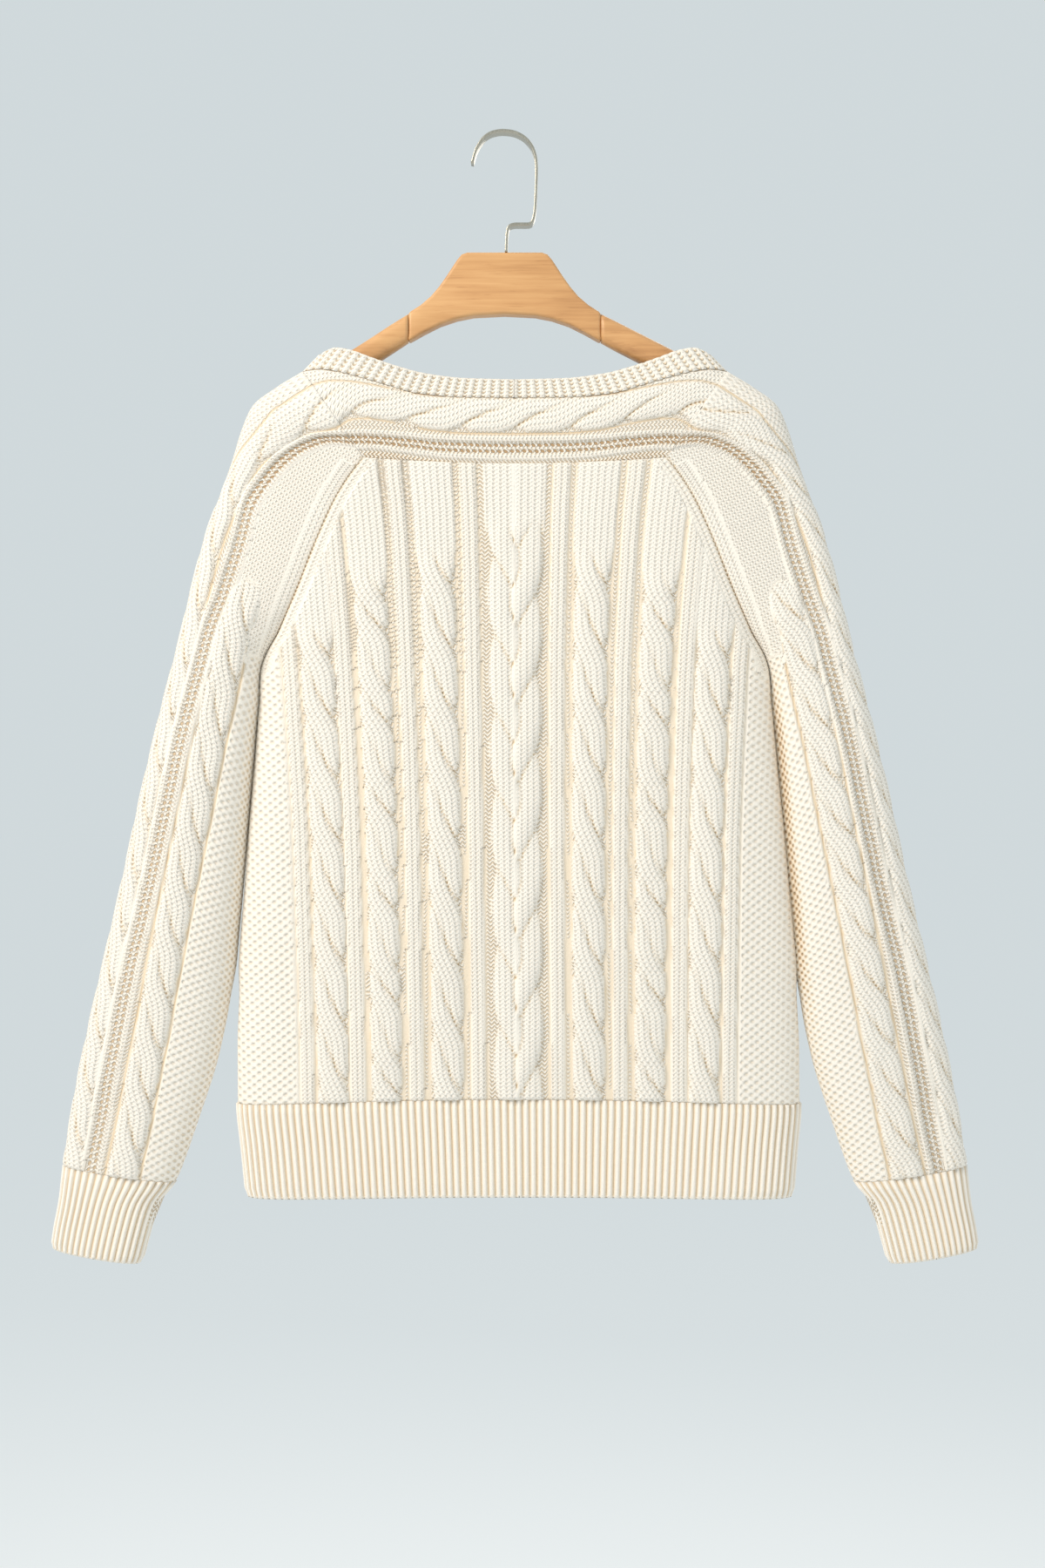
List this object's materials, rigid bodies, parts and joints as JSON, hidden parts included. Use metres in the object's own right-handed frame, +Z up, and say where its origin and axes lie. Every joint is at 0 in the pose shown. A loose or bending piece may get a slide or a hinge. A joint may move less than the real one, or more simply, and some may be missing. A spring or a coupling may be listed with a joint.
{
  "type": "cable knit sweater on a wooden hanger",
  "caption": "Long-sleeved raglan sweater in thick cable knit with ribbed neck, hem and cuffs, hung on a wooden hanger with a flat metal hook.",
  "frame": {"origin": "inside of the hook's top, where the hook rests on what holds it", "axes": "+Z up, +X to the right of someone who looks at the garment's back as it is seen in the picture, -Y towards that viewer"},
  "size_m": [0.7242, 0.0644, 0.8834],
  "materials": {
    "wool": "thick ivory wool knit, matt and slightly fuzzy",
    "wood": "clear satin varnish on pale hardwood",
    "hook_metal": "satin nickel with a warm tint"
  },
  "bodies": {
    "root": {"back_panel": "wool", "front_panel": "wool", "back_yoke": "wool", "front_yoke": "wool", "left_sleeve_back": "wool", "left_sleeve_front": "wool", "right_sleeve_back": "wool", "right_sleeve_front": "wool", "neck_rib": "wool", "hem_rib": "wool", "left_cuff": "wool", "right_cuff": "wool", "hanger_block": "wood", "hanger_arm_left": "wood", "hanger_arm_right": "wood", "hanger_hook": "hook_metal"}
  },
  "joints": []
}
